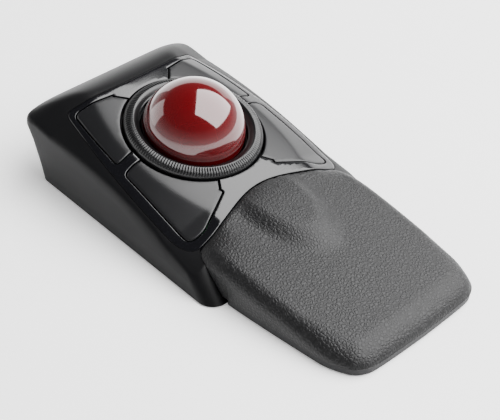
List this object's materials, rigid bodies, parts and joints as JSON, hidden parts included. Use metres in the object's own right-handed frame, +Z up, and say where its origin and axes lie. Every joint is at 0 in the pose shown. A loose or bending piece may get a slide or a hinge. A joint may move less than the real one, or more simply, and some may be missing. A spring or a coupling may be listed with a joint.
{
  "type": "desktop trackball",
  "caption": "Large-ball desktop trackball with a scroll ring, broad sloping keys around the ball and a detachable padded wrist rest.",
  "frame": {"origin": "on the desk under the middle of the whole object, wrist rest included", "axes": "+X to the user's right across the device, +Y from the wrist rest towards the back of the device, +Z up from the desk"},
  "size_m": [0.126, 0.232, 0.065],
  "materials": {
    "matteBlack": "matt black casing plastic",
    "glossBlack": "piano black, polished",
    "satinBlack": "satin black plastic",
    "ringBlack": "semi-gloss black plastic",
    "ballRed": "polished crimson resin",
    "leather": "grained synthetic leather over foam",
    "rubber": "matt black rubber",
    "innerPlastic": "moulded dark plastic",
    "steel": "plated steel",
    "ceramic": "smooth pale ceramic or acetal",
    "boardGreen": "glass-fibre circuit board",
    "chipBlack": "moulded component body",
    "lensClear": "clear moulded lens",
    "cellSleeve": "printed-free cell sleeve"
  },
  "bodies": {
    "device": {"upper_housing": "matteBlack", "deck_bezel": "glossBlack", "hinge_pin_front_left": "steel", "switch_front_left": "chipBlack", "hinge_pin_front_right": "steel", "switch_front_right": "chipBlack", "hinge_pin_back_left": "steel", "switch_back_left": "chipBlack", "hinge_pin_back_right": "steel", "switch_back_right": "chipBlack", "ring_retainer": "innerPlastic", "ball_cup": "innerPlastic", "support_bearing_1": "ceramic", "support_bearing_2": "ceramic", "support_bearing_3": "ceramic", "button_frame": "innerPlastic", "button_board": "boardGreen", "ring_sensor": "chipBlack", "sensor_board": "boardGreen", "ball_sensor": "chipBlack", "sensor_lens": "lensClear", "main_board": "boardGreen", "radio_module": "chipBlack", "power_switch_body": "chipBlack", "connect_switch": "chipBlack", "base_plate": "innerPlastic", "battery_1": "cellSleeve", "battery_2": "cellSleeve", "contact_spring": "steel", "contact_plate": "steel", "usb_receiver": "satinBlack", "case_screw_1": "steel", "case_screw_2": "steel", "case_screw_3": "steel", "case_screw_4": "steel", "foot_1": "rubber", "foot_2": "rubber", "foot_3": "rubber", "foot_4": "rubber"},
    "ball_body": {"ball": "ballRed"},
    "ring_body": {"scroll_ring": "ringBlack", "encoder_ring": "innerPlastic"},
    "power_knob_body": {"power_switch_knob": "satinBlack"},
    "connect_button_body": {"connect_button": "satinBlack"},
    "battery_door_body": {"battery_door": "innerPlastic"},
    "wrist_rest_body": {"wrist_rest_base": "innerPlastic", "wrist_rest_pad": "leather", "rest_foot_1": "rubber", "rest_foot_2": "rubber", "rest_foot_3": "rubber", "rest_foot_4": "rubber"},
    "button_front_left_body": {"button_front_left": "satinBlack", "plunger_front_left": "ceramic"},
    "button_front_right_body": {"button_front_right": "satinBlack", "plunger_front_right": "ceramic"},
    "button_back_left_body": {"button_back_left": "satinBlack", "plunger_back_left": "ceramic"},
    "button_back_right_body": {"button_back_right": "satinBlack", "plunger_back_right": "ceramic"}
  },
  "joints": [
    {"name": "ball_roll", "type": "hinge", "parent": "device", "child": "ball_body", "pos_m": [0, 0.045, 0.0375], "axis": [1, 0, 0], "continuous": true},
    {"name": "ring_spin", "type": "hinge", "parent": "device", "child": "ring_body", "pos_m": [0, 0.045, 0.0375], "axis": [0, -0.1977, 0.9803], "continuous": true},
    {"name": "press_front_left", "type": "hinge", "parent": "device", "child": "button_front_left_body", "pos_m": [-0.045, 0.02407, 0.02492], "axis": [0, 0.9803, 0.1977], "range_deg": [0, 2], "stiffness_Nm_per_rad": 0.15, "springref_deg": -1.72},
    {"name": "press_front_right", "type": "hinge", "parent": "device", "child": "button_front_right_body", "pos_m": [0.045, 0.02407, 0.02492], "axis": [0, -0.9803, -0.1977], "range_deg": [0, 2], "stiffness_Nm_per_rad": 0.15, "springref_deg": -1.72},
    {"name": "press_back_left", "type": "hinge", "parent": "device", "child": "button_back_left_body", "pos_m": [-0.041, 0.06623, 0.03342], "axis": [0, 0.9803, 0.1977], "range_deg": [0, 2], "stiffness_Nm_per_rad": 0.15, "springref_deg": -1.72},
    {"name": "press_back_right", "type": "hinge", "parent": "device", "child": "button_back_right_body", "pos_m": [0.041, 0.06623, 0.03342], "axis": [0, -0.9803, -0.1977], "range_deg": [0, 2], "stiffness_Nm_per_rad": 0.15, "springref_deg": -1.72},
    {"name": "power_slide", "type": "slide", "parent": "device", "child": "power_knob_body", "axis": [1, 0, 0], "range_m": [0, 0.003]},
    {"name": "connect_press", "type": "slide", "parent": "device", "child": "connect_button_body", "axis": [0, 0, 1], "range_m": [0, 0.0005], "stiffness_N_per_m": 400, "springref_m": -0.001},
    {"name": "battery_door_slide", "type": "slide", "parent": "device", "child": "battery_door_body", "axis": [0, -1, 0], "range_m": [0, 0.005]},
    {"name": "wrist_rest_unhook", "type": "slide", "parent": "device", "child": "wrist_rest_body", "axis": [0, -1, 0], "range_m": [0, 0.03]}
  ]
}
